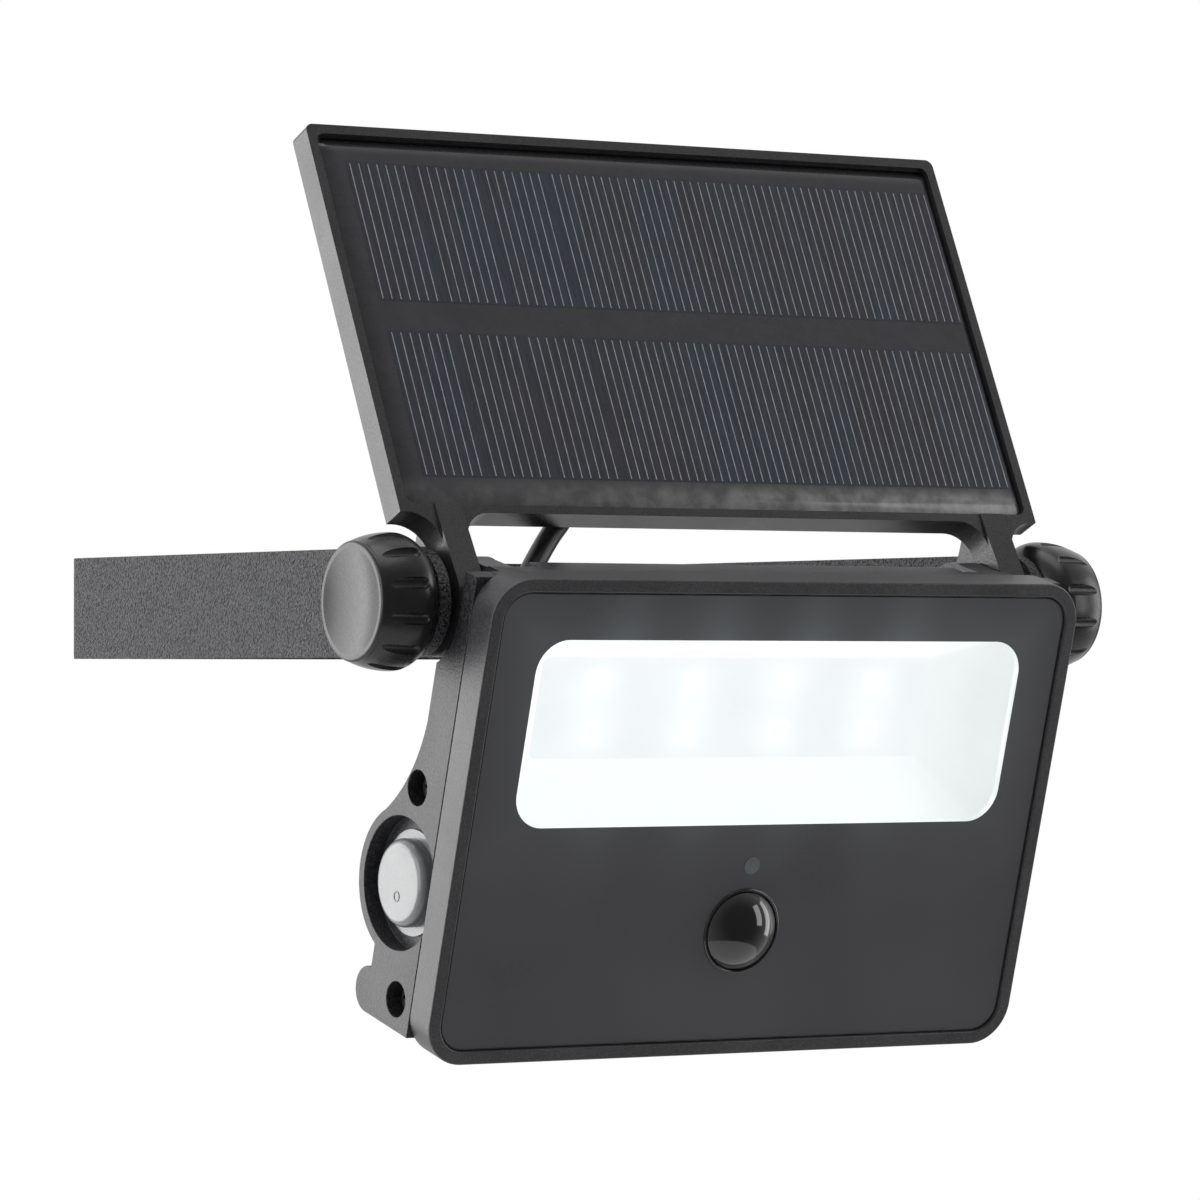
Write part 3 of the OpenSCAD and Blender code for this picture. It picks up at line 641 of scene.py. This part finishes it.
def make_cable():
    """The lead in two halves, which meet at the pivot axis; both stay where they stand, on no body."""
    on_panel = [panel_space @ (Vector(p) * MM) for p in CABLE_ON_PANEL]
    on_lamp = [lamp_space @ (Vector(p) * MM) for p in CABLE_ON_LAMP]
    per_span = 8
    line = through(on_panel + on_lamp, per_span)
    meet = (len(on_panel) - 1) * per_span + per_span // 2
    upper, lower = bmesh.new(), bmesh.new()
    tube(upper, line[:meet + 1], CABLE_R * MM)
    tube(lower, line[meet:], CABLE_R * MM)
    crossing = tuple(line[meet])
    top = piece_from(upper, "lead_upper", "cable_pvc", None,
                     blend=("panel", "bracket", tuple(on_panel[1]), crossing))
    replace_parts(top, "solar_cable")
    piece_from(lower, "lead_lower", "cable_pvc", None,
               blend=("bracket", "lamp", crossing, tuple(on_lamp[-1])))


def inset_box(box, gap):
    x0, z0, x1, z1 = box
    return x0 + gap, z0 + gap, x1 - gap, z1 - gap


def bead(name, space, box, radius, depth, thick, body, slot="seal_rubber"):
    """An uneven line of sealant in the gap round a rectangle."""
    loop = dense(rounded_loop(box, radius))
    path = [space @ (Vector((x, depth, z)) * MM) for x, z in loop]

    def swell(i):
        x, z = loop[i]
        return thick * MM * (1 + 0.35 * noise.noise(Vector((x * 0.35, z * 0.35, 1.7))))

    bm = bmesh.new()
    tube(bm, path, swell, sides=8, closed=True)
    piece_from(bm, name, slot, body)


def ring(name, space, at, major, minor, depth, body, slot, turned=False):
    """A plain ring round a point on a face, or on the cheek if turned."""
    bm = bmesh.new()
    path = []
    count = 64
    for k in range(count):
        a = k * math.tau / count
        u, w = major * math.cos(a), major * math.sin(a)
        local = (depth, at[0] + u, at[1] + w) if turned else (at[0] + u, depth, at[1] + w)
        path.append(space @ (Vector(local) * MM))
    tube(bm, path, minor * MM, sides=12, closed=True)
    piece_from(bm, name, slot, body)


finish_cad_nodes()
laminate_top()
cell_strips()
make_cable()
bead("cover_bead", lamp_face, inset_box(COVER_BOX, COVER_INSET), radius=6.6, depth=1.15, thick=0.36,
     body="lamp")
ring("pir_ring", lamp_face, PIR_AT, major=10.0, minor=0.42, depth=0.72, body="lamp", slot="pir_black")
ring("boot_mark", lamp_face, BOOT_MARK, major=1.1, minor=0.16, depth=BOOT_FACE, body="lamp",
     slot="boot_silicone", turned=True)


# ---- floor and light ----

def make_floor():
    """A round sheet of pale paper well below the light."""
    bm = bmesh.new()
    bmesh.ops.create_circle(bm, cap_ends=True, radius=FLOOR_RADIUS, segments=96)
    mesh = bpy.data.meshes.new("floor")
    bm.to_mesh(mesh)
    bm.free()
    floor = bpy.data.objects.new("floor", mesh)
    bpy.context.scene.collection.objects.link(floor)
    floor.location = FLOOR_AT
    s = Shader("floor_paper", Roughness=0.7)
    s.wire(s.mix(s.spread(s.noise(60, 3), 0, 1), (0.80, 0.80, 0.80), (0.84, 0.84, 0.84)), "Base Color")
    mesh.materials.append(s.material)


def make_softbox(name, place, target, size, brightness):
    """An evenly lit panel; its power follows from how bright its face is to be."""
    data = bpy.data.lights.new(name, "AREA")
    data.shape = "RECTANGLE"
    data.size, data.size_y = size
    data.energy = brightness * math.pi * size[0] * size[1]
    lamp = bpy.data.objects.new(name, data)
    bpy.context.scene.collection.objects.link(lamp)
    lamp.location = place
    lamp.rotation_euler = (Vector(target) - Vector(place)).to_track_quat("-Z", "Y").to_euler()


def make_world():
    """White backdrop; for its light, a studio that is bright behind and above and dim in front."""
    world = bpy.data.worlds.new("studio")
    world.use_nodes = True
    tree = world.node_tree

    def add(kind, inputs=None, **settings):
        return add_node(tree, kind, inputs, **settings).outputs

    heading = add("ShaderNodeSeparateXYZ", {0: add("ShaderNodeTexCoord")["Generated"]})
    behind = add("ShaderNodeMapRange", {"Value": heading["Y"], "From Min": -0.8, "From Max": 0.5,
                                        "To Min": 0.17, "To Max": 1.1})["Result"]
    above = add("ShaderNodeMapRange", {"Value": heading["Z"], "From Min": -0.6, "From Max": 0.8,
                                       "To Min": 0.8, "To Max": 1.0})["Result"]
    studio = add("ShaderNodeMath", {0: behind, 1: above}, operation="MULTIPLY")[0]
    seen = add("ShaderNodeLightPath")["Is Camera Ray"]
    level = add("ShaderNodeMath", {0: studio, 1: seen}, operation="MAXIMUM")[0]
    tree.links.new(level, tree.nodes["Background"].inputs["Color"])
    bpy.context.scene.world = world


make_floor()
make_world()
make_softbox("left_softbox", (-1.7, 0.0, 0.3), (-0.08, -0.16, 0), (0.9, 1.3), 2.4)
make_softbox("back_left_softbox", (-1.2, 1.4, 0.1), (-0.08, -0.1, 0), (1.2, 1.6), 3.6)
make_softbox("right_softbox", (1.6, -0.45, 0.1), (0, -0.18, 0), (0.5, 1.4), 2.6)
make_softbox("front_right_softbox", (1.14, -1.12, 0.28), (0, -0.16, 0), (0.42, 1.0), 2.8)
make_softbox("top_softbox", (-0.1, -0.2, 1.6), (0, -0.16, 0), (1.4, 0.8), 1.8)
bpy.context.scene.view_settings.view_transform = "Standard"
